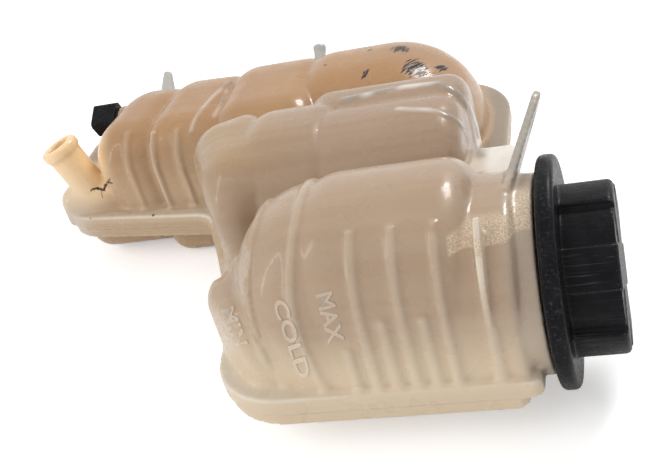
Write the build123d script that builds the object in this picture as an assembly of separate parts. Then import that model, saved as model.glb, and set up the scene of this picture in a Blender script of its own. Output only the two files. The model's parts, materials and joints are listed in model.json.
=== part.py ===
from build123d import *
import os
from dataclasses import dataclass

os.makedirs("parts", exist_ok=True)

# All sizes are in millimetres. The working frame has its zero on the filler neck's axis at the inner
# face of the cap's flange: X runs along the neck towards the cap, Y to the back and Z up.

# Moulded shells
WALL = 2.6
FLANGE_TOP = -13.5
PARTING = -20.0
FLANGE_BOTTOM = -24.5
FLANGE_LIP = 3.4
FLANGE_TOE = -109.1
LOWER_STEP = 0.8
PAN_BOTTOM = -42.0

# Filler neck and its spout
COLLAR_R = 31.0
COLLAR_BACK = -20.0
COLLAR_WALL = 3.0
SPOUT_R = 21.9
BORE_R = 17.0
BEVEL = 1.0

# Ribs on the front wall
RIB_WIDTH = 2.2
RIB_HEIGHT = 1.0
MIN_RIB = -81.0
MAX_RIB = -68.5
MIN_RIB_BOW = 8.0
MAX_RIB_BOW = 4.6
LONG_RIB_FIRST = -53.0
RIB_PITCH = 12.4
RIB_COUNT = 4
SHORT_RIB_OFFSET = -6.2
SHORT_RIB_TOP = 12.5
SHORT_RIB_STEP = 10.0
LONG_RIB_REACH = -18.0
REAR_RIB_FIRST = -169.5
REAR_RIB_PITCH = 11.4
REAR_RIB_COUNT = 3
REAR_RIB_TOP = 19.0

# Hose stub
STUB_AT = (-202.0, 106.0)
STUB_R = 7.4
STUB_BORE_R = 5.2
STUB_BEAD_R = 8.5
STUB_BEAD_LENGTH = 5.0
STUB_LENGTH = 21.5
STUB_LEAN = 19.0

# Mounting ear with its gusset
EAR_FOOT = (-12.2, -15.0, 28.0)
EAR_LENGTH = 58.0
EAR_RISE = 19.5
EAR_DROP = 26.0
EAR_THICKNESS = 2.6
EAR_LEAN = 22.0
EAR_TURN = 8.5
EAR_HOLE_R = 3.4
GUSSET_TOP = 19.0
GUSSET_REACH = -9.5

# Vent spigot and locating peg on the back slope
SPIGOT_X = -100.5
SPIGOT_R = 2.6
SPIGOT_BORE_R = 1.3
SPIGOT_RISE = 8.0
SPIGOT_BEAD_R = 3.0
SPIGOT_BEAD_LENGTH = 3.0
PEG_X = -174.5
PEG_ROOT_R = 3.7
PEG_TIP_R = 1.9
PEG_RISE = 9.5
BACK_SLOPE = 45.0

# Pressure cap
CAP_FLANGE_R = 36.0
CAP_FLANGE_LENGTH = 5.6
CAP_EDGE = 1.8
GRIP_R = 27.0
GRIP_PANEL_R = 24.8
GRIP_END = 21.6
GRIP_RIB_COUNT = 6
GRIP_RIB_WIDTH = 13.0
GRIP_TURN = 25.0
CAP_ROOF = GRIP_END - 3.4
SPOUT_END = CAP_ROOF - 5.0
THREAD_GAP = 0.4
BOSS_R = 4.0
BOSS_END = CAP_ROOF - 3.2
SLACK = 0.06

# Valve insert inside the cap
INSERT_R = 16.4
INSERT_HEAD_R = 18.6
INSERT_HEAD_X = SPOUT_END + 0.6
INSERT_TOP = CAP_ROOF - 0.4
INSERT_NOSE = -7.0
INSERT_FLOOR = -4.5
CHAMBER_R = 12.5
SEAT_R = 6.5
RING_X = 3.0
RING_R = 1.54
VENT_X = 6.3
VENT_R = 1.2
VENT_COUNT = 4
RETAINER_X = INSERT_HEAD_X - 6.0
PLATE_R = 10.6
PLATE_LENGTH = 2.0
WASHER_LENGTH = 0.9
VACUUM_STEM_R = 1.5
VACUUM_HEAD_R = 4.2
VACUUM_HEAD_LENGTH = 1.4
VACUUM_STEM_END = 4.2
VACUUM_COLLAR_R = 3.2
VACUUM_COLLAR_LENGTH = 0.8
PRESSURE_COIL_R = 8.0
PRESSURE_WIRE_R = 0.7
VACUUM_COIL_R = 2.5
VACUUM_WIRE_R = 0.3
COIL_TURNS = 4

# Level sensor
SENSOR_Y = 140.0
SENSOR_Z = 5.5
SENSOR_FACE = -192.8
SENSOR_BOSS_R = 7.8
SENSOR_BORE_R = 5.8
SENSOR_PLUG_END = -179.0
STEM_R = 2.6
STEM_END = -146.0
STEM_STOP_R = 3.8
STEM_STOP_LENGTH = 1.6
SENSOR_PLATE_LENGTH = 2.4
SHROUD_LENGTH = 10.4
SHROUD_WIDTH = 12.0
SHROUD_HEIGHT = 10.0
SHROUD_TURN = 28.0
SHROUD_LIFT = 3.2
SHROUD_WALL = 1.5
PIN_PITCH = 4.4
PIN_SIZE = 1.0
PIN_SETBACK = 5.2
FLOAT_R = 6.6
FLOAT_LENGTH = 10.0
FLOAT_START = -175.0
FLOAT_GAP = 0.45
MAGNET_R = 5.4
MAGNET_BORE_R = 3.9
MAGNET_LENGTH = 4.0

# Baffles between neighbouring bulges
BAFFLE_THICKNESS = 2.0
BAFFLE_WINDOW = 14.0


@dataclass(frozen=True)
class Bulge:
    """One rounded bulge of a shell, by its spans along X and Y, its crown and its edge radii.

    side_r holds the front and back radii, end_r the left and right ones, and turn its turn in plan.
    """

    x: tuple
    y: tuple
    crown: float
    side_r: tuple
    end_r: tuple
    turn: float = 0.0

    @property
    def left(self):
        return self.x[0]

    @property
    def right(self):
        return self.x[1]

    @property
    def front(self):
        return self.y[0]

    @property
    def back(self):
        return self.y[1]

    @property
    def back_r(self):
        return self.side_r[1]


FRONT_TOE = Bulge(x=(-107.7, -67.7), y=(-23.2, 16.8), crown=14.0, side_r=(18, 12), end_r=(10, 8), turn=38)
FRONT_HIP = Bulge(x=(-100.6, -60.6), y=(-14.7, 19.3), crown=19.0, side_r=(10, 10), end_r=(8, 8), turn=38)
FRONT_LEFT = Bulge(x=(-98.0, -50.0), y=(-31.2, 32.2), crown=37.4, side_r=(31, 31), end_r=(28, 8))
FRONT_RIGHT = Bulge(x=(-80.0, -18.5), y=(-32.0, 33.0), crown=39.6, side_r=(31.5, 31.5), end_r=(20, 10))
FRONT_NECK = Bulge(x=(-40.0, -6.5), y=(-31.7, 31.6), crown=32.4, side_r=(27, 31), end_r=(8, 3))
MID_LEFT = Bulge(x=(-130.0, -97.0), y=(27.0, 87.0), crown=33.6, side_r=(20, 22), end_r=(14, 10), turn=24)
MID_CENTRE = Bulge(x=(-114.0, -71.0), y=(29.5, 85.0), crown=36.0, side_r=(27, 24), end_r=(18, 9))
MID_RIGHT = Bulge(x=(-84.0, -26.5), y=(30.0, 75.0), crown=35.0, side_r=(27, 17), end_r=(13, 9))
MID_RIDGE = Bulge(x=(-86.0, -26.0), y=(62.0, 89.5), crown=34.2, side_r=(11, 14), end_r=(10, 8))
REAR_END = Bulge(x=(-192.0, -157.0), y=(94.0, 166.5), crown=20.6, side_r=(18, 38), end_r=(17, 12), turn=-7)
REAR_LEFT = Bulge(x=(-167.0, -127.0), y=(91.0, 167.0), crown=21.6, side_r=(18, 38), end_r=(14, 12), turn=-5)
REAR_CENTRE = Bulge(x=(-137.0, -91.0), y=(88.5, 167.5), crown=23.6, side_r=(18, 38), end_r=(14, 12))
REAR_RIGHT = Bulge(x=(-106.0, -29.0), y=(88.0, 168.0), crown=24.6, side_r=(38, 39), end_r=(18, 36))
PLATEAU = Bulge(x=(-216.0, -178.0), y=(97.0, 150.0), crown=-4.0, side_r=(7, 7), end_r=(6.5, 2))

UPPER = [
    FRONT_TOE,
    FRONT_HIP,
    FRONT_LEFT,
    FRONT_RIGHT,
    FRONT_NECK,
    MID_LEFT,
    MID_CENTRE,
    MID_RIGHT,
    MID_RIDGE,
    REAR_END,
    REAR_LEFT,
    REAR_CENTRE,
    REAR_RIGHT,
    PLATEAU,
]
BAFFLED = [(FRONT_LEFT, FRONT_RIGHT), (MID_CENTRE, MID_RIGHT), (REAR_CENTRE, REAR_RIGHT)]

PAN_DEEP = 2 * PARTING - PAN_BOTTOM
PANS = [
    Bulge(x=(-212, -158), y=(102, 161), crown=PAN_DEEP - 2.5, side_r=(11, 11), end_r=(10, 9)),
    Bulge(x=(-171, -97), y=(95, 163), crown=PAN_DEEP, side_r=(11, 11), end_r=(9, 9)),
    Bulge(x=(-108, -29), y=(94, 164), crown=PAN_DEEP, side_r=(11, 11), end_r=(9, 10)),
    Bulge(x=(-126, -30), y=(40, 103), crown=PAN_DEEP, side_r=(11, 11), end_r=(10, 10)),
    Bulge(x=(-97, -26), y=(-20, 46), crown=PAN_DEEP - 10, side_r=(9, 9), end_r=(8, 8)),
]


def section(bulge, grow=0.0, sink=0.0):
    """The bulge's cross-section as a face in Y and Z, grown outwards and sunk below the parting plane."""
    width = bulge.back - bulge.front + 2 * grow
    foot = PARTING - sink
    height = bulge.crown + grow - foot
    middle = (bulge.front + bulge.back) / 2
    block = Pos(middle, foot + height / 2) * Rectangle(width, height)
    upper = block.vertices().group_by(Axis.Y)[-1].sort_by(Axis.X)
    block = fillet(upper[0], bulge.side_r[0] + grow)
    upper = block.vertices().group_by(Axis.Y)[-1].sort_by(Axis.X)
    return fillet(upper[-1], bulge.side_r[1] + grow)


def turned(bulge, solid):
    """The solid turned in plan about the bulge's middle."""
    middle = Pos((bulge.left + bulge.right) / 2, (bulge.front + bulge.back) / 2)
    return middle * Rot(0, 0, bulge.turn) * middle.inverse() * solid


def slice_of(bulge, at, thickness, grow):
    """A slab of the bulge's grown cross-section, centred on X = at."""
    start = Plane(origin=(at - thickness / 2, 0, 0), x_dir=(0, 1, 0), z_dir=(1, 0, 0))
    return turned(bulge, extrude(start * section(bulge, grow), thickness))


def loaf(bulge, grow=0.0, sink=0.0):
    """The bulge as a solid with rounded ends; a negative grow gives its cavity."""
    left = bulge.left - grow
    length = bulge.right + grow - left
    start = Plane(origin=(left, 0, 0), x_dir=(0, 1, 0), z_dir=(1, 0, 0))
    solid = extrude(start * section(bulge, grow, sink), length)
    for face, radius in zip((0, -1), bulge.end_r):
        end = solid.faces().filter_by(Axis.X).sort_by(Axis.X)[face]
        rim = end.edges().sort_by(Axis.Z)[1:]
        solid = fillet(rim, max(radius + grow, BEVEL))
    return turned(bulge, solid)


def union(shapes):
    """All the shapes joined in turn."""
    whole = shapes[0]
    for shape in shapes[1:]:
        whole = whole + shape
    return whole


def along_x(x):
    """A plane across the neck's axis at X, looking towards the cap."""
    return Plane(origin=(x, 0, 0), x_dir=(0, 1, 0), z_dir=(1, 0, 0))


def rod(radius, start, end):
    """A round bar about the neck's axis."""
    return extrude(along_x(start) * Circle(radius), end - start)


def tube(outer, inner, start, end):
    """A round sleeve about the neck's axis."""
    return extrude(along_x(start) * (Circle(outer) - Circle(inner)), end - start)


def coil(radius, wire, start, end):
    """A helical spring about the neck's axis, clear of both seats."""
    length = end - start - 2 * wire - 4 * SLACK
    path = Helix(pitch=length / COIL_TURNS, height=length, radius=radius)
    wire_end = Plane(origin=path @ 0, z_dir=path % 0) * Circle(wire)
    return along_x(start + wire + 2 * SLACK) * sweep(wire_end, path=path)


def flange_outline(inset, right):
    """The weld flange's plan outline, drawn from the lobes' own walls."""
    lip = FLANGE_LIP - inset
    front = FRONT_RIGHT.front - lip + 1.2
    near = REAR_RIGHT.front - lip
    back = REAR_RIGHT.back + lip
    far_right = REAR_RIGHT.right + lip + 5
    far_left = PLATEAU.left - lip
    corners = [
        ((right, front), 4),
        ((FLANGE_TOE + inset, front), 26),
        ((FLANGE_TOE - FLANGE_LIP + inset, 8), 60),
        ((MID_LEFT.left - lip - 8, near - 2), 10),
        ((far_left, PLATEAU.front + 1.5 - lip), 24),
        ((far_left, back), 42),
        ((far_right, back), 34),
        ((far_right, FRONT_RIGHT.back + lip), 7),
        ((right, FRONT_RIGHT.back + lip), 4),
    ]
    face = make_face(Polyline([point for point, _ in corners], close=True))
    for point, radius in corners:
        near_vertex = face.vertices().sort_by_distance(Vector(*point))[0]
        face = fillet(near_vertex, radius)
    return face


def placed(plan, bottom, top):
    """A plan face raised into a plate between two heights."""
    return extrude(Plane.XY.offset(bottom) * plan, top - bottom)


def half_space(above):
    """Everything above a height, as a block larger than the tank."""
    return Pos(-100, 70, above + 100) * Box(400, 400, 200)


# Upper shell: bulges, flange, neck, stub, ear and small spigots, then its hollow
cavity = union([loaf(b, -WALL, 10) for b in UPPER])
lobes = union([loaf(b) for b in UPPER])
body = lobes + placed(flange_outline(0, -4), PARTING, FLANGE_TOP)
body += rod(COLLAR_R, COLLAR_BACK, -BEVEL)

ribs = []
level_grown = union([loaf(b, RIB_HEIGHT) for b in (FRONT_TOE, FRONT_HIP, FRONT_LEFT, FRONT_RIGHT)])
for x, bow in ((MIN_RIB, MIN_RIB_BOW), (MAX_RIB, MAX_RIB_BOW)):
    bowed = (x - bow, FRONT_LEFT.crown * 0.35)
    line = ThreePointArc((x, PARTING), bowed, (x, FRONT_LEFT.crown + 8))
    band = extrude(Plane.XZ * trace(line, RIB_WIDTH), 60, both=True)
    ribs.append(level_grown & band)
for index in range(RIB_COUNT):
    x = LONG_RIB_FIRST + index * RIB_PITCH
    long_rib = slice_of(FRONT_RIGHT, x, RIB_WIDTH, RIB_HEIGHT)
    ribs.append(long_rib & Pos(x, LONG_RIB_REACH - 50, 0) * Box(10, 100, 200))
    if index < RIB_COUNT - 1:
        short_x = x + SHORT_RIB_OFFSET
        short_rib = slice_of(FRONT_RIGHT, short_x, RIB_WIDTH, RIB_HEIGHT)
        short_top = SHORT_RIB_TOP - (SHORT_RIB_STEP if index == 0 else 0)
        ribs.append(short_rib & Pos(x, -60, short_top - 50) * Box(40, 100, 100))
for index in range(REAR_RIB_COUNT):
    x = REAR_RIB_FIRST + index * REAR_RIB_PITCH
    wall_of = REAR_END if x < REAR_LEFT.left + 6 else REAR_LEFT
    rear_rib = slice_of(wall_of, x, RIB_WIDTH, RIB_HEIGHT)
    ribs.append(rear_rib & Pos(x, wall_of.front, REAR_RIB_TOP - 50) * Box(14, 30, 100))
body += ribs

ear_plane = Plane(Pos(*EAR_FOOT) * Rot(0, 0, -EAR_TURN) * Rot(0, EAR_LEAN, 0) * Plane.YZ.location)
ear_points = [
    (0, 0),
    (EAR_LENGTH * 0.86, EAR_RISE),
    (EAR_LENGTH, EAR_RISE - 9),
    (EAR_LENGTH * 0.9, -EAR_DROP),
    (0, -8),
]
ear_face = make_face(Polyline(ear_points, close=True))
ear_face = fillet(ear_face.vertices().sort_by(Axis.Y)[-2:], 6)
ear = extrude(ear_plane * ear_face, EAR_THICKNESS / 2, both=True)
gusset_middle = Pos((MID_RIGHT.right + GUSSET_REACH) / 2 - 2, FRONT_RIGHT.back)
gusset_plan = gusset_middle * RectangleRounded(GUSSET_REACH - MID_RIGHT.right + 4, 32, 3)
body += ear + placed(gusset_plan, GUSSET_TOP - WALL, GUSSET_TOP)

stub_plane = Plane(Pos(*STUB_AT, PLATEAU.crown) * Rot(0, -STUB_LEAN, 0))
stub = extrude(stub_plane.offset(-4) * Circle(STUB_R), STUB_LENGTH + 4)
bead_start = stub_plane.offset(STUB_LENGTH - STUB_BEAD_LENGTH)
bead = extrude(bead_start * Circle(STUB_BEAD_R), STUB_BEAD_LENGTH)
bead = chamfer(bead.edges().filter_by(GeomType.CIRCLE), BEVEL)
stub_bore = extrude(stub_plane.offset(-12) * Circle(STUB_BORE_R), STUB_LENGTH + 14)
body += stub + bead


def back_plane(bulge, x):
    """A plane on the bulge's back slope at X, looking outwards."""
    centre_y = bulge.back - bulge.back_r
    centre_z = bulge.crown - bulge.back_r
    return Plane(Pos(x, centre_y, centre_z) * Rot(-BACK_SLOPE, 0, 0))


spigot_plane = back_plane(REAR_CENTRE, SPIGOT_X)
spigot_root = REAR_CENTRE.back_r - WALL
body += extrude(spigot_plane.offset(spigot_root) * Circle(SPIGOT_R), WALL + SPIGOT_RISE)
spigot_tip = REAR_CENTRE.back_r + SPIGOT_RISE
spigot_bead_start = spigot_plane.offset(spigot_tip - SPIGOT_BEAD_LENGTH)
spigot_bead = extrude(spigot_bead_start * Circle(SPIGOT_BEAD_R), SPIGOT_BEAD_LENGTH)
body += chamfer(spigot_bead.edges().filter_by(GeomType.CIRCLE), BEVEL / 2)
spigot_bore_start = spigot_plane.offset(spigot_root - 6)
spigot_bore = extrude(spigot_bore_start * Circle(SPIGOT_BORE_R), WALL + SPIGOT_RISE + 8)
peg_plane = back_plane(REAR_LEFT, PEG_X)
peg_root = REAR_LEFT.back_r - WALL / 2
peg_tip = REAR_LEFT.back_r + PEG_RISE
peg_foot = peg_plane.offset(peg_root) * Circle(PEG_ROOT_R)
peg_end = peg_plane.offset(peg_tip) * Circle(PEG_TIP_R)
body += loft([peg_foot, peg_end])

sensor_shift = Pos(0, SENSOR_Y, SENSOR_Z)
body += sensor_shift * rod(SENSOR_BOSS_R, SENSOR_FACE, SENSOR_PLUG_END)

baffles = []
for near, far in BAFFLED:
    x = far.left + 5
    slab = slice_of(near, x, BAFFLE_THICKNESS, -WALL / 2) & lobes
    middle = (near.front + near.back) / 2
    window = Pos(x, middle, PARTING) * Box(20, BAFFLE_WINDOW * 2, BAFFLE_WINDOW * 2)
    vent = Pos(x, middle, near.crown) * Box(20, BAFFLE_WINDOW, BAFFLE_WINDOW)
    baffles.append(slab - window - vent)

throat = rod(COLLAR_R - COLLAR_WALL, COLLAR_BACK - 10, -BEVEL - COLLAR_WALL)
throat = throat & half_space(PARTING + WALL)
body = body - cavity - throat + baffles
body += tube(SPOUT_R, BORE_R, -BEVEL - COLLAR_WALL, SPOUT_END)
body -= rod(BORE_R, -BEVEL - COLLAR_WALL - 1, SPOUT_END + 1)
ear_hole_face = ear_plane * Pos(EAR_LENGTH * 0.8, EAR_RISE - 11) * Circle(EAR_HOLE_R)
ear_hole = extrude(ear_hole_face, EAR_THICKNESS * 2, both=True)
body = body - stub_bore - spigot_bore - ear_hole
body -= sensor_shift * rod(SENSOR_BORE_R, SENSOR_FACE - 1, SENSOR_PLUG_END + 1)
upper_shell = body

# Lower shell: thinner flange with shallow pans, notched round the neck
pans_out = union([loaf(p) for p in PANS])
pans_in = union([loaf(p, -WALL, 10) for p in PANS])
lower = placed(flange_outline(LOWER_STEP, -9), PARTING, 2 * PARTING - FLANGE_BOTTOM)
lower = lower + pans_out - pans_in
lower = mirror(lower, about=Plane.XY.offset(PARTING))
lower_shell = lower - rod(COLLAR_R + THREAD_GAP, COLLAR_BACK - THREAD_GAP, 2)

# Cap grip: flange, ribbed hand grip, threaded skirt and the boss that turns in the insert
cap_flange = fillet(rod(CAP_FLANGE_R, 0, CAP_FLANGE_LENGTH).edges(), CAP_EDGE)
grip = rod(GRIP_PANEL_R, CAP_EDGE, GRIP_END - BEVEL / 2)
round_over = fillet(rod(GRIP_R, CAP_EDGE, GRIP_END).edges().sort_by(Axis.X)[-1], CAP_EDGE)
for index in range(GRIP_RIB_COUNT):
    turn = Rot(GRIP_TURN + 360 / GRIP_RIB_COUNT * index, 0, 0)
    lobe = Pos(GRIP_END / 2, GRIP_R / 2, 0) * Box(GRIP_END * 2, GRIP_R * 1.2, GRIP_RIB_WIDTH)
    grip += round_over & (turn * lobe)
cap_grip = cap_flange + grip - rod(SPOUT_R + THREAD_GAP, -1, CAP_ROOF)
cap_grip += rod(BOSS_R, BOSS_END, CAP_ROOF + 1)

# Valve insert: hollow plug with a ring groove, vents and a seat
ring_mid_r = BORE_R - SLACK - RING_R
insert = rod(INSERT_R, INSERT_NOSE, INSERT_HEAD_X + 1)
insert += rod(INSERT_HEAD_R, INSERT_HEAD_X, INSERT_TOP)
insert -= rod(CHAMBER_R, INSERT_FLOOR, INSERT_TOP + 1)
insert -= rod(SEAT_R, INSERT_NOSE - 1, INSERT_FLOOR + 1)
groove_half = RING_R + 2 * SLACK
insert -= tube(INSERT_R + 1, ring_mid_r - RING_R - SLACK, RING_X - groove_half, RING_X + groove_half)
for index in range(VENT_COUNT):
    turn = Rot(360 / VENT_COUNT * index, 0, 0)
    insert -= turn * Pos(VENT_X, 0, 15) * Cylinder(VENT_R, 12)
cap_insert = insert
cap_seal_ring = Pos(RING_X, 0, 0) * Rot(0, 90, 0) * Torus(ring_mid_r, RING_R)

spring_retainer = rod(CHAMBER_R - SLACK, RETAINER_X, INSERT_TOP)
spring_retainer -= rod(BOSS_R + SLACK, BOSS_END - 0.6, INSERT_TOP + 1)
spring_retainer -= rod(CHAMBER_R - 4, RETAINER_X - 1, RETAINER_X + 4)
spring_retainer += rod(PRESSURE_COIL_R - PRESSURE_WIRE_R - 0.5, RETAINER_X, RETAINER_X + 5)

# Pressure valve and the vacuum valve in its middle
washer_start = INSERT_FLOOR + SLACK
plate_start = washer_start + WASHER_LENGTH
plate_end = plate_start + PLATE_LENGTH
pressure_seal = tube(PLATE_R - 0.6, SEAT_R + 0.4, washer_start, plate_start)
pressure_plate = tube(PLATE_R, VACUUM_STEM_R + SLACK, plate_start, plate_end)
pressure_spring = coil(PRESSURE_COIL_R, PRESSURE_WIRE_R, plate_end, RETAINER_X)
head_end = plate_start - SLACK
vacuum_valve = rod(VACUUM_STEM_R, head_end - 0.5, VACUUM_STEM_END)
vacuum_valve += rod(VACUUM_HEAD_R, head_end - VACUUM_HEAD_LENGTH, head_end)
vacuum_valve += rod(VACUUM_COLLAR_R, VACUUM_STEM_END - VACUUM_COLLAR_LENGTH, VACUUM_STEM_END)
vacuum_spring = coil(VACUUM_COIL_R, VACUUM_WIRE_R, plate_end, VACUUM_STEM_END - VACUUM_COLLAR_LENGTH)

# Level sensor: plug with stem, connector shroud, seal, terminals, float and magnet
plug_r = SENSOR_BORE_R - SLACK
sensor_ring_x = (SENSOR_FACE + SENSOR_PLUG_END) / 2
sensor_ring_mid = plug_r - 1.0
shroud_start = SENSOR_FACE - SENSOR_PLATE_LENGTH - SHROUD_LENGTH
shroud_turn = Pos(0, SHROUD_LIFT) * Rot(0, 0, SHROUD_TURN)
shroud_plan = shroud_turn * RectangleRounded(SHROUD_WIDTH, SHROUD_HEIGHT, 2)
socket_width = SHROUD_WIDTH - 2 * SHROUD_WALL
socket_plan = shroud_turn * RectangleRounded(socket_width, SHROUD_HEIGHT - 2 * SHROUD_WALL, 1)
housing = rod(SENSOR_BOSS_R - 0.5, SENSOR_FACE - SENSOR_PLATE_LENGTH, SENSOR_FACE)
housing += rod(plug_r, SENSOR_FACE - 1, SENSOR_PLUG_END)
housing += rod(STEM_R, SENSOR_PLUG_END - 1, STEM_END)
housing += rod(STEM_STOP_R, STEM_END - STEM_STOP_LENGTH, STEM_END)
housing += extrude(along_x(shroud_start) * shroud_plan, SHROUD_LENGTH + 1)
housing -= extrude(along_x(shroud_start - 1) * socket_plan, SHROUD_LENGTH - 1)
housing -= tube(plug_r + 1, sensor_ring_mid - 1.1, sensor_ring_x - 1.15, sensor_ring_x + 1.15)
pins = []
for side in (-1, 1):
    pin_face = shroud_turn * Pos(side * PIN_PITCH / 2, 0) * Rectangle(PIN_SIZE, PIN_SIZE)
    housing -= extrude(along_x(shroud_start + SHROUD_LENGTH - 3) * pin_face, 5 + SLACK)
    pin_start = along_x(shroud_start + PIN_SETBACK)
    pins.append(extrude(pin_start * pin_face, SHROUD_LENGTH + 2 - PIN_SETBACK))
sensor_housing = sensor_shift * housing
sensor_terminals = sensor_shift * Compound(children=pins)
sensor_seal = sensor_shift * Pos(sensor_ring_x, 0, 0) * Rot(0, 90, 0) * Torus(sensor_ring_mid, 1.0)

float_ring = tube(FLOAT_R, STEM_R + FLOAT_GAP, FLOAT_START, FLOAT_START + FLOAT_LENGTH)
magnet_end = FLOAT_START + 1 + MAGNET_LENGTH
float_ring -= tube(MAGNET_R + SLACK, MAGNET_BORE_R - SLACK, FLOAT_START - 1, magnet_end + SLACK)
level_float = sensor_shift * float_ring
float_magnet = sensor_shift * tube(MAGNET_R, MAGNET_BORE_R, FLOAT_START + 1, magnet_end)

NODES = {
    "upper_shell": upper_shell,
    "lower_shell": lower_shell,
    "cap_grip": cap_grip,
    "cap_insert": cap_insert,
    "cap_seal_ring": cap_seal_ring,
    "spring_retainer": spring_retainer,
    "pressure_plate": pressure_plate,
    "pressure_seal": pressure_seal,
    "pressure_spring": pressure_spring,
    "vacuum_valve": vacuum_valve,
    "vacuum_spring": vacuum_spring,
    "sensor_housing": sensor_housing,
    "sensor_terminals": sensor_terminals,
    "sensor_seal": sensor_seal,
    "level_float": level_float,
    "float_magnet": float_magnet,
}

# Every node moves by the same shift, so that the whole stands on its pans about its middle
copies = [Compound(children=node.solids()) for node in NODES.values()]
whole = Compound(children=copies).bounding_box()
shift = Pos(-whole.center().X, -whole.center().Y, -whole.min.Z)
for name, node in NODES.items():
    export_step(shift * node, f"parts/{name}.step")
    print(name, len(node.solids()), round(node.volume))
print("shift", shift.position)
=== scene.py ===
import bmesh
import bpy
import json
import math
import numpy as np
from mathutils import Matrix, Vector
from mathutils.bvhtree import BVHTree
from mathutils.kdtree import KDTree

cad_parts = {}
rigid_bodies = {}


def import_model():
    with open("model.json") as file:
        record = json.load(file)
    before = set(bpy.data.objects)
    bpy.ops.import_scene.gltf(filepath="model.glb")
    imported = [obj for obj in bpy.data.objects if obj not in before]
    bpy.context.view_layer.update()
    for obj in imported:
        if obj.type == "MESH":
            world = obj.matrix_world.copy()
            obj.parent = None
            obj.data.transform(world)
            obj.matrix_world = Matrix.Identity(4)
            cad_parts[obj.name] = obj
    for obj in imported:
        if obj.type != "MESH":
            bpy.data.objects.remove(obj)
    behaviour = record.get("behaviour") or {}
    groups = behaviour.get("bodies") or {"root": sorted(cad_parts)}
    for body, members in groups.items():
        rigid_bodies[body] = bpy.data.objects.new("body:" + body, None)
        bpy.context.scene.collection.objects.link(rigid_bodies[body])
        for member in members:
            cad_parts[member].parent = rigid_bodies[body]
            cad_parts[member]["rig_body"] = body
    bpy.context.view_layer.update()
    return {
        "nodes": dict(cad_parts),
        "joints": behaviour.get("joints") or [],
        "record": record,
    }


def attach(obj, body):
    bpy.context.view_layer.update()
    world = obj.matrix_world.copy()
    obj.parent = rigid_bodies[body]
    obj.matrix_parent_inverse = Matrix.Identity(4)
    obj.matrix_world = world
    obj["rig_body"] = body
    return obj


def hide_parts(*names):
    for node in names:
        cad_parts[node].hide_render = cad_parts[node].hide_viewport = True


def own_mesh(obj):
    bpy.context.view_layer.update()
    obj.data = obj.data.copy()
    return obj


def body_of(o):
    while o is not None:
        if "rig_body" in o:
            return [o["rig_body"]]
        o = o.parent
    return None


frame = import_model()

# Places are given in millimetres from the middle of the cap's flange, where the neck's axis meets it
MM = 0.001
cap_turn = next(joint for joint in frame["joints"] if joint["name"] == "cap_turn")
NECK = Vector(cap_turn["pos_m"])

# The photograph's camera
PHOTO_WIDTH, PHOTO_HEIGHT = 671, 470
FOCAL_PIXELS = 1100.0
NECK_PIXEL = (551.0, 272.1)
NECK_DEPTH = 336.5 * MM
ELEVATION = math.radians(31.38)
HEADING = math.radians(19.05)
ROLL = math.radians(16.9)
SENSOR_MM = 36.0
CLIP_START = 0.01

# Moulded skins of the shells and the cap
SHELLS = ("upper_shell", "lower_shell")
WALL_MM = 2.6
INNER_DEPTH_MM = 0.6 * WALL_MM
VOXEL = 0.8 * MM
CAP_VOXEL = 0.4 * MM
MERGE = 0.001 * MM
SMOOTHING = 0.5
EDGE_ROUNDS = 2
CREASE_ROUNDS = 9
FORM_ROUNDS = 40
CAP_FORM_ROUNDS = 25
SKIN_TRIANGLES = 190000
CAP_TRIANGLES = 120000
HIDDEN_WEIGHT, SEEN_WEIGHT = 1.0, 0.5
HIDDEN_LEEWAY = 0.00001

# The hollow's walls are the faces from which hardly any sight line leaves the tank
SIGHT_START = 0.1 * MM
MOST_WAYS_OUT = 1
SIGHT_LINES = [
    Vector((x, y, z)).normalized()
    for x in (-1, 0, 1)
    for y in (-1, 0, 1)
    for z in (-1, 0, 1)
    if (x, y, z) != (0, 0, 0)
]

# The front lobe's toe is filled out round this spot
TOE_ROUNDS = 160
TOE_SPOT = (-97.0, -17.0, 5.0)
TOE_REACH = 30.0

# The middle lobe's left end leans inwards: where the lean starts and where it is full
LEAN_MM = 3.5
LEAN_X = (-92, -120)
LEAN_FRONT_Y = (22, 34)
LEAN_REAR_Y = (90, 80)
LEAN_Z = (-13, -6)

# Ridges and dents pressed into the wall: pixels along each, reach and rise in millimetres, and how clear
# each leaves the wall, which also places painted glints along it
WALL_STROKES = (
    (((191, 133), (193, 124), (200, 112), (212, 98), (230, 82)), 1.5, 0.5, 0.4),
    (((230, 82), (224, 100), (214, 117)), 1.5, 0.45, 0.35),
    (((345, 100), (375, 93), (405, 87), (435, 84), (455, 92), (466, 105)), 2.4, 0.5, 0.75),
    (((398, 109), (425, 110), (448, 116), (461, 126), (468, 140)), 1.8, 0.45, 0.6),
    (((470, 108), (476, 125), (480, 142), (481, 156)), 3.0, 0.6, 0.9),
    (((220, 277), (225, 266)), 3.5, -0.8, 0.0),
)

# Raised level marks: word, the pixels where it starts and ends, and its letter height in pixels
LEVEL_MARKS = (
    ("MIN", (227, 308), (242, 346), 13.0),
    ("COLD", (278, 300), (305, 378), 14.0),
    ("MAX", (323, 293), (336, 343), 17.0),
)
LETTER_SIZE = 9.2 * MM
LETTER_EXTRUDE = 0.3 * MM
LETTER_SPREAD = 0.02 * MM
LETTER_BEVEL = 0.28 * MM
MARK_RISE = 0.26 * MM
MARK_ROOT = 0.4 * MM
# Bend that the letters carry, which lays the painted crest highlight over them
MARK_HIGHLIGHT_BEND = -0.6

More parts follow.
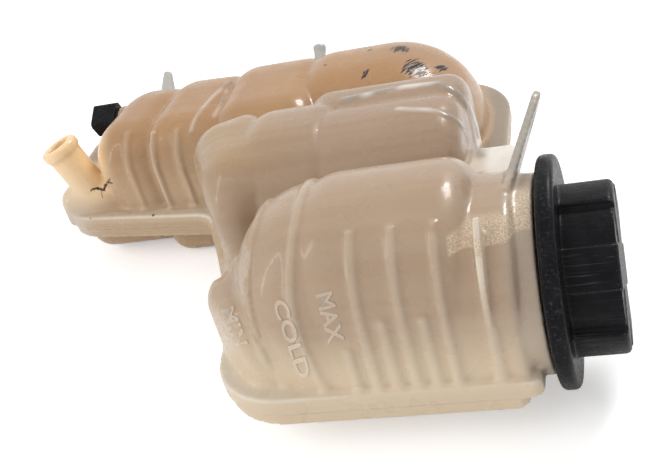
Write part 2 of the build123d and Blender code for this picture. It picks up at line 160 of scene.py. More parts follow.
# Crack round the foot of the hose stub: pixels along each line, and its half width in pixels
CRACK_LINES = (
    (
        (
            (90.5, 191.5), (93, 188.8), (97.5, 188), (101, 189.4),
            (103.8, 190.3), (105.5, 186.2), (108, 181.5), (110, 178.2),
        ),
        1.4,
    ),
    (((107.6, 181.8), (110, 182.6), (113, 183.4)), 0.8),
    (((101.5, 190), (101.8, 194), (102.4, 198)), 0.32),
)
CRACK_STEPS = 4
CRACK_SWAY = 0.5
CRACK_GIRTH = (0.55, 1.25)
CRACK_TIP = 0.6
CRACK_LIFT = 0.06 * MM
CRACK_THICKNESS = 0.12 * MM


def spot(x, y, z):
    """A place in the frame, from millimetres about the neck."""
    return NECK + Vector((x, y, z)) * MM


# Objects and meshes


def add_object(name, data):
    """A new object in the scene, at the origin."""
    made = bpy.data.objects.new(name, data)
    bpy.context.scene.collection.objects.link(made)
    return made


def mesh_of(name, bm):
    """A mesh made from a bmesh, which is used up."""
    mesh = bpy.data.meshes.new(name)
    bm.to_mesh(mesh)
    bm.free()
    return mesh


def finished_mesh(piece):
    """The piece's mesh as its modifiers or its letters leave it."""
    seen = piece.evaluated_get(bpy.context.evaluated_depsgraph_get())
    return bpy.data.meshes.new_from_object(seen)


def carried_out(piece, kind, **settings):
    """The piece's mesh after one modifier."""
    modifier = piece.modifiers.new(kind.title(), kind)
    for name, value in settings.items():
        setattr(modifier, name, value)
    mesh = finished_mesh(piece)
    piece.modifiers.clear()
    return mesh


def softened(piece, rounds):
    """The piece's mesh after some rounds of smoothing."""
    return carried_out(piece, "SMOOTH", iterations=rounds, factor=SMOOTHING)


def points(mesh):
    """The mesh's vertices as an array."""
    flat = np.zeros(len(mesh.vertices) * 3)
    mesh.vertices.foreach_get("co", flat)
    return flat.reshape(-1, 3)


def outward(mesh):
    """The mesh's vertex normals as an array."""
    flat = np.zeros(len(mesh.vertices) * 3)
    mesh.vertices.foreach_get("normal", flat)
    return flat.reshape(-1, 3)


def rise_over(mesh, lower):
    """How far each point of a mesh stands out from the same point of the lower one."""
    return ((points(mesh) - points(lower)) * outward(lower)).sum(axis=1)


def merged_mesh(node):
    """A closed copy of a node's mesh, with its loose triangles joined."""
    bm = bmesh.new()
    bm.from_mesh(frame["nodes"][node].data)
    bmesh.ops.remove_doubles(bm, verts=bm.verts, dist=MERGE)
    return mesh_of(node, bm)


def shade_smooth(mesh):
    mesh.polygons.foreach_set("use_smooth", [True] * len(mesh.polygons))


def store(mesh, name, values):
    """Keeps one number per point for the material."""
    attribute = mesh.attributes.new(name, "FLOAT", "POINT")
    attribute.data.foreach_set("value", np.asarray(values, dtype=np.float32))


def smooth_step(share):
    """A share held between 0 and 1, eased at both ends."""
    share = share.clip(0, 1)
    return share * share * (3 - 2 * share)


def eased(values, start, end):
    """A smooth step from 0 at the start to 1 at the end."""
    return smooth_step((values - start) / (end - start))


def polygons_of(meshes):
    """The corners and faces of several meshes, as one list of each."""
    corners, faces = [], []
    for mesh in meshes:
        first = len(corners)
        corners += [vertex.co.copy() for vertex in mesh.vertices]
        faces += [[first + index for index in face.vertices] for face in mesh.polygons]
    return corners, faces


def tree_of(meshes):
    """A search tree over several meshes."""
    return BVHTree.FromPolygons(*polygons_of(meshes))


def cavity_tree():
    """A search tree over the hollow's own walls."""
    everything = tree_of([node.data for node in frame["nodes"].values()])
    corners, faces = polygons_of([merged_mesh(node) for node in SHELLS])
    inner = []
    for face in faces:
        a, b, c = (corners[index] for index in face[:3])
        across = (b - a).cross(c - a)
        if across.length == 0:
            continue
        start = (a + b + c) / 3 + across.normalized() * SIGHT_START
        ways_out = sum(everything.ray_cast(start, line)[0] is None for line in SIGHT_LINES)
        if ways_out <= MOST_WAYS_OUT:
            inner.append(face)
    return BVHTree.FromPolygons(corners, inner)


def hollow_depth(places, cavity):
    """Each place's distance from the hollow, in millimetres."""
    return np.array([cavity.find_nearest(Vector(place))[3] / MM for place in places])


# Camera


def camera_axes():
    """The camera's right, up and forward directions."""
    look = Vector((
        -math.sin(HEADING) * math.cos(ELEVATION),
        math.cos(HEADING) * math.cos(ELEVATION),
        -math.sin(ELEVATION),
    ))
    level_right = Vector((math.cos(HEADING), math.sin(HEADING), 0))
    level_up = level_right.cross(look)
    right = level_right * math.cos(ROLL) - level_up * math.sin(ROLL)
    up = level_right * math.sin(ROLL) + level_up * math.cos(ROLL)
    return right, up, look


RIGHT, UP, LOOK = camera_axes()


def pixel_ray(pixel):
    """The direction from the camera through a pixel of the photograph."""
    across = pixel[0] - PHOTO_WIDTH / 2
    above = PHOTO_HEIGHT / 2 - pixel[1]
    return LOOK + (RIGHT * across + UP * above) / FOCAL_PIXELS


EYE = NECK - pixel_ray(NECK_PIXEL) * NECK_DEPTH


def surface_at(tree, pixel):
    """Where a pixel of the photograph meets the walls, and which way the wall faces there."""
    place, normal, _, _ = tree.ray_cast(EYE, pixel_ray(pixel).normalized())
    return place, normal


def add_camera():
    data = bpy.data.cameras.new("photo_camera")
    data.sensor_width = SENSOR_MM
    data.lens = FOCAL_PIXELS / PHOTO_WIDTH * SENSOR_MM
    data.clip_start = CLIP_START
    camera = add_object("photo_camera", data)
    camera.matrix_world = Matrix.Translation(EYE) @ Matrix((RIGHT, UP, -LOOK)).transposed().to_4x4()
    bpy.context.scene.camera = camera


# Skins: the shells with creases filled as in a blown moulding, and the cap with rounded edges


def stroke_masks(places, wall):
    """For each place, how far the strokes push the wall and how clear they leave it, which also places the
    painted glints.
    """
    push = np.zeros(len(places))
    clear = np.zeros(len(places))
    for pixels, reach, rise, clearness_and_glints in WALL_STROKES:
        line = [np.array(surface_at(wall, pixel)[0]) for pixel in pixels]
        near = np.full(len(places), 1.0)
        for first, last in zip(line, line[1:]):
            span = last - first
            along = ((places - first) @ span / (span @ span)).clip(0, 1)
            gap = np.linalg.norm(places - first - along[:, None] * span, axis=1)
            near = np.minimum(near, gap)
        strength = smooth_step(1 - near / (reach * MM))
        push += strength * rise * MM
        clear = np.maximum(clear, strength * clearness_and_glints)
    return push, clear


def leaning(places):
    """How far each place shares in the inward lean of the middle lobe's left end."""
    x, y, z = ((places - np.array(NECK)) / MM).T
    return eased(x, *LEAN_X) * eased(y, *LEAN_FRONT_Y) * eased(y, *LEAN_REAR_Y) * eased(z, *LEAN_Z)


def thinned_out(piece, hidden, most):
    """Thins the piece's mesh, hidden places first, and keeps the fine mesh's shading.

    Gives the new mesh, and for each of its points the nearest one of the fine mesh.
    """
    fine = piece.data
    normals = outward(fine)
    spare = piece.vertex_groups.new(name="spare")
    spare.add(np.flatnonzero(hidden).tolist(), HIDDEN_WEIGHT, "REPLACE")
    spare.add(np.flatnonzero(~hidden).tolist(), SEEN_WEIGHT, "REPLACE")
    triangles = sum(len(face.vertices) - 2 for face in fine.polygons)
    thinned = carried_out(
        piece,
        "DECIMATE",
        ratio=min(1.0, most / triangles),
        use_collapse_triangulate=True,
        vertex_group="spare",
        vertex_group_factor=HIDDEN_LEEWAY,
    )
    piece.vertex_groups.clear()
    finder = KDTree(len(fine.vertices))
    for index, place in enumerate(points(fine)):
        finder.insert(place, index)
    finder.balance()
    nearest = np.array([finder.find(vertex.co)[1] for vertex in thinned.vertices])
    piece.data = thinned
    shade_smooth(thinned)
    thinned.normals_split_custom_set_from_vertices(normals[nearest])
    return thinned, nearest


def filled_rise(piece, fine):
    """How far the creases of the fine mesh are filled, more so at the front lobe's toe."""
    rise = rise_over(softened(piece, CREASE_ROUNDS), fine).clip(min=0)
    toe_rise = rise_over(softened(piece, TOE_ROUNDS), fine).clip(min=0)
    toe_gap = np.linalg.norm(points(fine) - spot(*TOE_SPOT), axis=1) / (TOE_REACH * MM)
    return np.maximum(rise, toe_rise * (2 - 2 * toe_gap).clip(0, 1))


def shell_skin(node, wall, cavity):
    """A softened copy of a shell that stands for it."""
    piece = add_object(node + "_skin", merged_mesh(node))
    piece.data = carried_out(piece, "REMESH", mode="VOXEL", voxel_size=VOXEL)
    fine = softened(piece, EDGE_ROUNDS)
    rise = filled_rise(piece, fine)
    push, clear = stroke_masks(points(fine), wall)
    depth = hollow_depth(points(fine), cavity)
    inside = depth < INNER_DEPTH_MM
    rise[inside] = 0
    push[inside] = 0
    moulded = points(fine) + outward(fine) * (rise + push)[:, None]
    moulded[:, 0] += leaning(moulded) * LEAN_MM * MM
    fine.vertices.foreach_set("co", moulded.ravel())
    fine.update()
    piece.data = fine
    bend = rise_over(softened(piece, FORM_ROUNDS), fine) / MM

    thinned, nearest = thinned_out(piece, inside, SKIN_TRIANGLES)
    store(thinned, "depth", depth[nearest])
    store(thinned, "bend", bend[nearest])
    # How clear the wall is, which also places the painted glints
    store(thinned, "clear", clear[nearest])
    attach(piece, "tank")
    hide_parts(node)
    return piece


def cap_skin():
    """A copy of the cap's grip with its edges rounded as moulded ones are."""
    piece = add_object("cap_grip_skin", merged_mesh("cap_grip"))
    piece.data = carried_out(piece, "REMESH", mode="VOXEL", voxel_size=CAP_VOXEL)
    piece.data = softened(piece, EDGE_ROUNDS)
    bend = rise_over(softened(piece, CAP_FORM_ROUNDS), piece.data) / MM
    thinned, nearest = thinned_out(piece, np.zeros(len(bend), dtype=bool), CAP_TRIANGLES)
    store(thinned, "bend", bend[nearest])
    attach(piece, "cap")
    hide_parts("cap_grip")
    return piece


# Raised level marks on the front wall


def flat_letters(word):
    """A word as a flat mesh with bevelled letters, from their left end and about their middle height."""
    curve = bpy.data.curves.new("mark_" + word, "FONT")
    curve.body = word
    curve.size = LETTER_SIZE
    curve.extrude = LETTER_EXTRUDE
    curve.offset = LETTER_SPREAD
    curve.bevel_depth = LETTER_BEVEL
    curve.bevel_resolution = 2
    curve.resolution_u = 4
    curve.align_x = "LEFT"
    curve.align_y = "CENTER"
    text = add_object("mark_" + word, curve)
    mesh = finished_mesh(text)
    bpy.data.objects.remove(text)
    return mesh


def level_mark(word, start, end, height, wall, cavity):
    """Raised letters laid on the wall, read from the start pixel to the end pixel."""
    mesh = flat_letters(word)
    flat = points(mesh)
    low, high = flat.min(axis=0), flat.max(axis=0)
    reading = Vector(end) - Vector(start)
    upright = Vector((reading.y, -reading.x)).normalized() * height
    placed = []
    for x, y, z in flat:
        pixel = Vector(start) + reading * (x - low[0]) / (high[0] - low[0])
        pixel += upright * y / (high[1] - low[1])
        foot, facing = surface_at(wall, pixel)
        lift = MARK_RISE if z > 0 else -MARK_ROOT
        placed.append(foot + facing * lift * abs(z) / high[2])
    mesh.vertices.foreach_set("co", np.array(placed).ravel())
    shade_smooth(mesh)
    store(mesh, "depth", hollow_depth(points(mesh), cavity))
    # This bend lays the painted crest highlight on the letters
    store(mesh, "bend", np.full(len(placed), MARK_HIGHLIGHT_BEND))
    store(mesh, "clear", np.zeros(len(placed)))
    piece = add_object("level_mark_" + word.lower(), mesh)
    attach(piece, "tank")
    return piece


# Crack round the foot of the hose stub


def crack_line(number, pixels, half_width, wall):
    """A thin dark split that follows the wall and tapers to both ends."""
    bm = bmesh.new()
    steps = CRACK_STEPS * (len(pixels) - 1)
    bmesh.ops.create_grid(bm, x_segments=steps, y_segments=1, size=1.0)
    rng = np.random.default_rng(number)
    sway = rng.uniform(-CRACK_SWAY, CRACK_SWAY, steps + 1)
    girth = rng.uniform(*CRACK_GIRTH, steps + 1)
    for vertex in bm.verts:
        step = round((vertex.co.x + 1) / 2 * steps)
        leg = min(step // CRACK_STEPS, len(pixels) - 2)
        before, after = Vector(pixels[leg]), Vector(pixels[leg + 1])
        middle = before.lerp(after, step / CRACK_STEPS - leg)
        across = Vector((before.y - after.y, after.x - before.x)).normalized()
        taper = math.sin(math.pi * (step + CRACK_TIP) / (steps + 2 * CRACK_TIP)) ** 0.5
        pixel = middle + across * (sway[step] + vertex.co.y * half_width * girth[step] * taper)
        place, facing = surface_at(wall, pixel)
        vertex.co = place + facing * CRACK_LIFT
    bmesh.ops.recalc_face_normals(bm, faces=bm.faces)
    if sum(face.normal.dot(LOOK) for face in bm.faces) > 0:
        bmesh.ops.reverse_faces(bm, faces=bm.faces)
    bmesh.ops.solidify(bm, geom=bm.faces, thickness=CRACK_THICKNESS)
    piece = add_object(f"crack_{number}", mesh_of("crack", bm))
    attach(piece, "tank")
    return piece


# Valve springs, which shorten as their valves open; here each is a plain copy carried by its body


def squeezed_springs():
    """Copies of the springs, each carried by the body of its node."""
    coils = []
    for joint in frame["record"]["behaviour"]["joints"]:
        for spring in joint.get("deforming_nodes", []):
            node, fixed = spring["node"], spring["fixed_end_x_m"]
            coil = add_object(node + "_coil", merged_mesh(node))
            shade_smooth(coil.data)
            length = abs(points(coil.data)[:, 0] - fixed).max()
            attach(coil, body_of(frame["nodes"][node])[0])
            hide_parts(node)
            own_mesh(coil)
            coils.append(coil)
    return coils


# Shader helpers


def colour(red, green, blue):
    return (red, green, blue, 1.0)


def add_node(tree, kind, sockets=None, **settings):
    """A shader node whose sockets take constants or other nodes' outputs."""
    made = tree.nodes.new(kind)
    for name, value in settings.items():
        setattr(made, name, value)
    for name, value in (sockets or {}).items():
        if isinstance(value, bpy.types.NodeSocket):
            tree.links.new(value, made.inputs[name])
        else:
            made.inputs[name].default_value = value
    return made


def mixed(tree, factor, first, second):
    """A mix of two colours."""
    return add_node(tree, "ShaderNodeMix", {0: factor, 6: first, 7: second}, data_type="RGBA").outputs[2]


def reckoned(tree, operation, *values):
    """A sum, product or other reckoning of values."""
    return add_node(tree, "ShaderNodeMath", dict(enumerate(values)), operation=operation).outputs[0]


def reckoned_vector(tree, operation, *vectors):
    """A sum, product or other reckoning of vectors."""
    made = add_node(tree, "ShaderNodeVectorMath", dict(enumerate(vectors)), operation=operation)
    return made.outputs["Value" if operation == "LENGTH" else "Vector"]


def product(tree, *masks):
    """Several masks and shares multiplied together."""
    whole = masks[0]
    for mask in masks[1:]:
        whole = reckoned(tree, "MULTIPLY", whole, mask)
    return whole


def ranged(tree, value, low, high, to_low=0.0, to_high=1.0, smooth=True):
    """A value mapped from one range to another and held at its ends."""
    return add_node(
        tree,
        "ShaderNodeMapRange",
        {"Value": value, "From Min": low, "From Max": high, "To Min": to_low, "To Max": to_high},
        interpolation_type="SMOOTHSTEP" if smooth else "LINEAR",
    ).outputs[0]


def noise(tree, place, scale, detail, roughness=0.5):
    """Noise from 0 to 1, about one half."""
    sockets = {"Vector": place, "Scale": scale, "Detail": detail, "Roughness": roughness}
    return add_node(tree, "ShaderNodeTexNoise", sockets).outputs["Fac"]


def attribute(tree, name):
    """A number that a skin stores at its points."""
    return add_node(tree, "ShaderNodeAttribute", attribute_name=name).outputs["Fac"]


def neck_place(tree):
    """The surface's own place, in millimetres from the neck."""
    coordinates = add_node(tree, "ShaderNodeTexCoord").outputs["Object"]
    moved = reckoned_vector(tree, "SUBTRACT", coordinates, NECK)
    return reckoned_vector(tree, "DIVIDE", moved, (MM, MM, MM))


def near_to(tree, place, middle):
    """The distance from a spot, in millimetres."""
    return reckoned_vector(tree, "LENGTH", reckoned_vector(tree, "SUBTRACT", place, middle))


def from_neck_axis(tree, place):
    """The distance from the neck's axis, in millimetres."""
    return reckoned_vector(tree, "LENGTH", reckoned_vector(tree, "MULTIPLY", place, (0.0, 1.0, 1.0)))


def new_material(name, constants):
    """A material whose shader has some constants set on its own sockets."""
    material = bpy.data.materials.new(name)
    material.use_nodes = True
    shader = material.node_tree.nodes["Principled BSDF"]
    for socket, value in constants.items():
        shader.inputs[socket].default_value = value
    return material, material.node_tree, shader


def finish_surface(tree, shader, base, roughness):
    """Links a colour and a roughness that change over the surface."""
    tree.links.new(base, shader.inputs["Base Color"])
    tree.links.new(roughness, shader.inputs["Roughness"])


def roughen(tree, shader, height, strength, distance):
    """A fine bump."""
    bump = add_node(tree, "ShaderNodeBump", {"Height": height, "Strength": strength, "Distance": distance})
    tree.links.new(bump.outputs[0], shader.inputs["Normal"])


# Effects that several materials or places use

VALUE, VECTOR = "NodeSocketFloat", "NodeSocketVector"
PATCH_DETAIL = 1.5
PATCH_LOW, PATCH_HIGH = 0.35, 0.65
STREAK_DETAIL, STREAK_ROUGHNESS = 5.0, 0.65
STREAK_GAIN = 0.28
STREAK_EDGE = (0.69, 0.75)
SCUFF_FADE = (1.0, 0.25)
SCUFF_END = (1.05, 0.85)


def new_group(name, inputs, outputs):
    """An empty shader node group with named sockets."""
    group = bpy.data.node_groups.new(name, "ShaderNodeTree")
    for label, kind in inputs:
        group.interface.new_socket(label, in_out="INPUT", socket_type=kind)
    for label, kind in outputs:
        group.interface.new_socket(label, in_out="OUTPUT", socket_type=kind)
    return group, group.nodes.new("NodeGroupInput").outputs, group.nodes.new("NodeGroupOutput").inputs


def patchy_group():
    """Soft cloudy patches from 0 to 1."""
    inputs = [("Place", VECTOR), ("Scale", VALUE), ("Low", VALUE), ("High", VALUE)]
    group, given, result = new_group("Patchy", inputs, [("Patches", VALUE)])
    cloud = noise(group, given["Place"], given["Scale"], PATCH_DETAIL)
    group.links.new(ranged(group, cloud, given["Low"], given["High"]), result["Patches"])
    return group


def scuff_group():
    """Ragged streaks inside an oval patch."""
    inputs = [(name, VECTOR) for name in ("Place", "Middle", "Reach", "Turn", "Streaks")]
    group, given, result = new_group("Scuff", inputs, [("Mask", VALUE)])
    offset = reckoned_vector(group, "SUBTRACT", given["Place"], given["Middle"])
    turning = {"Vector": offset, "Rotation": given["Turn"]}
    turned = add_node(group, "ShaderNodeVectorRotate", turning, rotation_type="EULER_XYZ").outputs[0]
    far = reckoned_vector(group, "LENGTH", reckoned_vector(group, "DIVIDE", turned, given["Reach"]))
    stretched = reckoned_vector(group, "MULTIPLY", turned, given["Streaks"])
    grain = noise(group, stretched, 1.0, STREAK_DETAIL, STREAK_ROUGHNESS)
    ragged = reckoned(group, "ADD", grain, product(group, STREAK_GAIN, ranged(group, far, *SCUFF_FADE)))
    mask = product(group, ranged(group, ragged, *STREAK_EDGE), ranged(group, far, *SCUFF_END))
    group.links.new(mask, result["Mask"])
    return group


PATCHY = patchy_group()
SCUFF = scuff_group()


def patches(tree, place, scale):
    """One use of the cloudy patches."""
    sockets = {"Place": place, "Scale": scale, "Low": PATCH_LOW, "High": PATCH_HIGH}
    return add_node(tree, "ShaderNodeGroup", sockets, node_tree=PATCHY).outputs["Patches"]


def scuff(tree, place, middle, reach, turn, streaks):
    """One use of the ragged streaks, turned by degrees."""
    angles = [math.radians(angle) for angle in turn]
    sockets = {"Place": place, "Middle": middle, "Reach": reach, "Turn": angles, "Streaks": streaks}
    return add_node(tree, "ShaderNodeGroup", sockets, node_tree=SCUFF).outputs["Mask"]


# Tank plastic: aged, with stains from the inside and clearer where it is thick, with painted highlights on
# crests and clear strokes, painted shade in grooves and painted light from the floor towards the foot

FRONT_TAN = colour(0.385, 0.272, 0.182)
MID_TAN = colour(0.325, 0.218, 0.143)
LEFT_TAN = colour(0.365, 0.243, 0.132)
REAR_TAN = colour(0.365, 0.197, 0.083)
# Darker tan: random cloudy patches, and painted shade in the grooves
DARK_TAN_AND_GROOVE_SHADE = colour(0.24, 0.145, 0.08)
# Painted light from the pale floor: paler cream towards the foot of the walls
FOOT_LIGHT_CREAM = colour(0.64, 0.515, 0.36)
MILKY = colour(0.60, 0.52, 0.415)
REAR_MILKY = colour(0.45, 0.325, 0.215)
# Painted highlight: pale colour laid along the crests of ridges and ribs
CREST_HIGHLIGHT_PALE = colour(0.70, 0.62, 0.52)
# Painted glints on the clear strokes: a dark reflection and a pale highlight; the pale one is also the
# web's pale plastic
CLEAR_DARK_REFLECTION = colour(0.27, 0.255, 0.22)
CLEAR_PALE_AND_GLINT = colour(0.74, 0.70, 0.64)
PEG_GREY = colour(0.43, 0.425, 0.40)
END_CLEAR = colour(0.50, 0.45, 0.39)
EAR_GREY = colour(0.34, 0.305, 0.26)
# Painted shade: grey on the collar next to the cap
COLLAR_SHADE_GREY = colour(0.36, 0.305, 0.25)
RIM_GREY = colour(0.30, 0.24, 0.175)
STUB_AMBER = colour(0.80, 0.58, 0.335)
PATCH_PALE = colour(0.70, 0.57, 0.42)
PATCH_DARK = colour(0.42, 0.32, 0.215)
SCUFF_BLACK = colour(0.012, 0.013, 0.018)

# Where each stain, painted light and painted shade lies: a measure in millimetres, its value where it ends
# and where it is full
AT_REAR = ("y", 78.0, 108.0)
AT_FRONT = ("y", 30.0, 5.0)
# Towards the foot, where the painted floor light lies
AT_LIT_FOOT = ("z", 14.0, -12.0)
AT_NECK = (("x", -21.0, -17.0), ("y", 60.0, 52.0))
# Grooves, where the painted shade lies
IN_GROOVE_SHADE = ("bend", 0.15, 0.7)
# Crests, where the painted highlight lies
ON_CREST_HIGHLIGHT = ("bend", -0.3, -0.85)
IN_RIB = ("depth", 2.8, 3.9)
IN_FLANGE = ("depth", 4.2, 6.0)
CAST_PATCH = (("x", -25.0, -24.0), ("y", 2.0, -2.0), ("z", 26.6, 27.2), ("z", 32.0, 30.5))

# How strong each stain, painted light and painted shade is where it is full
CLOUD_SHARE = 0.16
# Strength of the painted floor light at the foot, at the front and at the rear
FOOT_LIGHT_SHARE, FOOT_LIGHT_REAR_SHARE = 0.85, 0.3
FLOW_SHARE = 0.06
# Strength of the painted shade in the grooves
GROOVE_SHADE_SHARE = 0.25
RIB_SHARE = 0.3
FLANGE_SHARE = 0.9
# Strength of the painted crest highlight, weaker at the rear
CREST_HIGHLIGHT_SHARE, CREST_HIGHLIGHT_REAR_SHARE = 0.55, 0.4
CAST_SHARE = 0.7

# Stains laid over each other in this order, with a painted shade on the collar among them: colour, share
# and where they lie
LOBE_STAINS = (
    (MID_TAN, 1.0, ("y", 22.0, 45.0)),
    (LEFT_TAN, 1.0, ("x", -72.0, -112.0), ("y", 28.0, 45.0)),
    (REAR_TAN, 1.0, AT_REAR),
)
NECK_STAINS_AND_SHADE = (
    # Painted shade of the cap on the collar
    (COLLAR_SHADE_GREY, 0.5, ("x", -13.0, -5.0), ("radius", 37.0, 34.0)),
    (EAR_GREY, 1.0, *AT_NECK, ("y", -12.0, -7.0), ("z", 22.0, 30.0), ("radius", 33.5, 36.0)),
    (CLEAR_PALE_AND_GLINT, 0.8, *AT_NECK, ("y", 18.0, 24.0), ("z", 16.0, 18.0), ("z", 22.0, 20.0)),
    (RIM_GREY, FLANGE_SHARE, ("x", -34.0, -27.0), ("y", 96.0, 108.0), IN_FLANGE),
)

# Round stains: colour, share, middle, and the radius where each ends and where it is full
ROUND_STAINS = (
    (PEG_GREY, 1.0, (-172.7, 158.0, 15.0), 9.0, 6.0),
    (PEG_GREY, 1.0, (-99.4, 156.5, 15.5), 9.0, 6.0),
    (STUB_AMBER, 1.0, (-206.0, 106.0, 8.0), 27.0, 14.0),
    (END_CLEAR, 0.6, (-216.0, 99.0, -15.0), 30.0, 4.0),
)

# Black scuffs: middle, reach, turn in degrees, and how fine the streaks are on each axis
TANK_SCUFFS = (
    ((-71.2, 114.3, 22.7), (4.4, 2.0, 6.0), (0, 0, -70), (0.45, 1.0, 0.5)),
    ((-58.5, 130.5, 23.8), (7.5, 6.0, 8.0), (0, 0, -68), (0.14, 1.5, 0.5)),
    ((-51.0, 117.5, 20.6), (9.5, 9.0, 12.0), (0, 0, -52), (0.14, 1.4, 0.5)),
    ((-42.0, 122.5, 15.6), (7.0, 3.0, 8.0), (0, 0, -62), (0.2, 1.2, 0.4)),
    ((-71.6, 133.3, 24.3), (2.6, 1.4, 4.0), (0, 0, -60), (0.4, 1.4, 0.5)),
    ((-89.5, 125.3, 24.5), (1.6, 1.2, 3.0), (0, 0, -60), (0.5, 1.4, 0.5)),
)

# Black specks: middle and radius
SPECKS = (
    ((-168.4, 87.8, -13.5), 0.9),
    ((-199.8, 92.1, -13.5), 0.7),
    ((-213.0, 96.0, -18.0), 0.9),
    ((-214.5, 108.0, -9.0), 1.0),
    ((-101.5, 57.0, 34.0), 0.4),
    ((-86.0, -23.0, 12.0), 0.45),
    ((-85.5, -25.0, 9.0), 0.4),
)
SPECK_SHARE = 0.9
SPECK_CORE = 0.6

# Noise of the tank's plastic, by the millimetre
CLOUD_SCALE = 0.03
FLOW_SCALE = (0.01, 0.22, 0.22)
GLINT_SCALE, GLINT_DETAIL, GLINT_EDGE = 0.07, 2.0, (0.42, 0.56)
SPECKLE_SCALE, SPECKLE_DETAIL, SPECKLE_EDGE = 2.2, 4.0, (0.38, 0.62)
WORN_SCALE, WORN_ROUGHNESS = 0.12, (0.26, 0.38)
CLEAR_POLISH = 0.1
SCUFF_ROUGHNESS = 0.8
GRAIN_SCALE, GRAIN_DETAIL = 0.25, 3.0
GRAIN_STRENGTH, GRAIN_HEIGHT = 0.1, 0.4 * MM

TANK_CONSTANTS = {
    "Subsurface Weight": 0.35,
    "Subsurface Radius": (1.0, 0.8, 0.6),
    "Subsurface Scale": 1.5 * MM,
    "Coat Weight": 0.25,
    "Coat Roughness": 0.08,
    "Sheen Weight": 0.06,
    "Sheen Roughness": 0.4,
    "IOR": 1.49,
    "Specular IOR Level": 0.4,
}


def tank_measures(tree):
    """What the tank's stains go by: the place about the neck, and what the skins store."""
    place = neck_place(tree)
    x, y, z = add_node(tree, "ShaderNodeSeparateXYZ", {0: place}).outputs
    measures = {"place": place, "x": x, "y": y, "z": z, "radius": from_neck_axis(tree, place)}
    for name in ("depth", "bend", "clear"):
        measures[name] = attribute(tree, name)
    return measures


def zone(tree, measures, share, *edges):
    """A mask that has its share where every measure is past its second value."""
    return product(tree, share, *(ranged(tree, measures[name], end, full) for name, end, full in edges))


def stained_and_shaded(tree, measures, base, stains):
    """A base colour with stains, and any painted shade in the list, laid over it."""
    for paint, share, *edges in stains:
        base = mixed(tree, zone(tree, measures, share, *edges), base, paint)
    return base


def spotted(tree, place, base, spots):
    """A base colour with round stains laid over it."""
    for paint, share, middle, end, full in spots:
        mask = product(tree, share, ranged(tree, near_to(tree, place, middle), end, full))
        base = mixed(tree, mask, base, paint)
    return base


def wall_colour(tree, measures):
    """The stain behind the thin walls, with paler ribs and flange, painted light from the floor towards
    the foot, painted shade in the grooves and a painted highlight on the crests.
    """
    place = measures["place"]
    rear = zone(tree, measures, 1.0, AT_REAR)
    milky = mixed(tree, rear, MILKY, REAR_MILKY)

    tan = stained_and_shaded(tree, measures, FRONT_TAN, LOBE_STAINS)
    cloudy = product(tree, CLOUD_SHARE, patches(tree, place, CLOUD_SCALE))
    tan = mixed(tree, cloudy, tan, DARK_TAN_AND_GROOVE_SHADE)
    # Painted light from the floor: paler towards the foot, most at the front
    axis, end, full = AT_FRONT
    foot_light_frontward = ranged(tree, measures[axis], end, full, FOOT_LIGHT_REAR_SHARE)
    low = product(tree, zone(tree, measures, FOOT_LIGHT_SHARE, AT_LIT_FOOT), foot_light_frontward)
    tan = mixed(tree, low, tan, FOOT_LIGHT_CREAM)
    flow = patches(tree, reckoned_vector(tree, "MULTIPLY", place, FLOW_SCALE), 1.0)
    tan = mixed(tree, product(tree, FLOW_SHARE, flow), tan, milky)
    # Painted shade: darker tan in the grooves
    tan = mixed(tree, zone(tree, measures, GROOVE_SHADE_SHARE, IN_GROOVE_SHADE), tan, DARK_TAN_AND_GROOVE_SHADE)

    rib = zone(tree, measures, RIB_SHARE, IN_RIB)
    flange = zone(tree, measures, FLANGE_SHARE, IN_FLANGE)
    base = mixed(tree, reckoned(tree, "MAXIMUM", rib, flange), tan, milky)
    # Painted highlight along the crests, weaker towards the rear
    crest_highlight_fading = ranged(tree, rear, 0.0, 1.0, 1.0, CREST_HIGHLIGHT_REAR_SHARE)
    crest_highlight = product(tree, zone(tree, measures, CREST_HIGHLIGHT_SHARE, ON_CREST_HIGHLIGHT), crest_highlight_fading)
    return mixed(tree, crest_highlight, base, CREST_HIGHLIGHT_PALE)


def tank_colour(tree, measures, scuffed):
    """The tank's colour, from its walls to its scuffs."""
    place = measures["place"]
    # Stains round the neck, with the painted shade on the collar
    base = stained_and_shaded(tree, measures, wall_colour(tree, measures), NECK_STAINS_AND_SHADE)
    # Painted glints: where the strokes leave the wall clear, patches of painted dark reflection and pale
    # highlight
    glints = ranged(tree, noise(tree, place, GLINT_SCALE, GLINT_DETAIL), *GLINT_EDGE)
    painted_glass_glints = mixed(tree, glints, CLEAR_DARK_REFLECTION, CLEAR_PALE_AND_GLINT)
    base = mixed(tree, measures["clear"], base, painted_glass_glints)
    base = spotted(tree, place, base, ROUND_STAINS)
    speckle = ranged(tree, noise(tree, place, SPECKLE_SCALE, SPECKLE_DETAIL), *SPECKLE_EDGE)
    rough_skin = mixed(tree, speckle, PATCH_DARK, PATCH_PALE)
    base = mixed(tree, zone(tree, measures, CAST_SHARE, *CAST_PATCH), base, rough_skin)
    base = mixed(tree, scuffed, base, SCUFF_BLACK)
    specks = [(SCUFF_BLACK, SPECK_SHARE, middle, size, size * SPECK_CORE) for middle, size in SPECKS]
    return spotted(tree, place, base, specks)


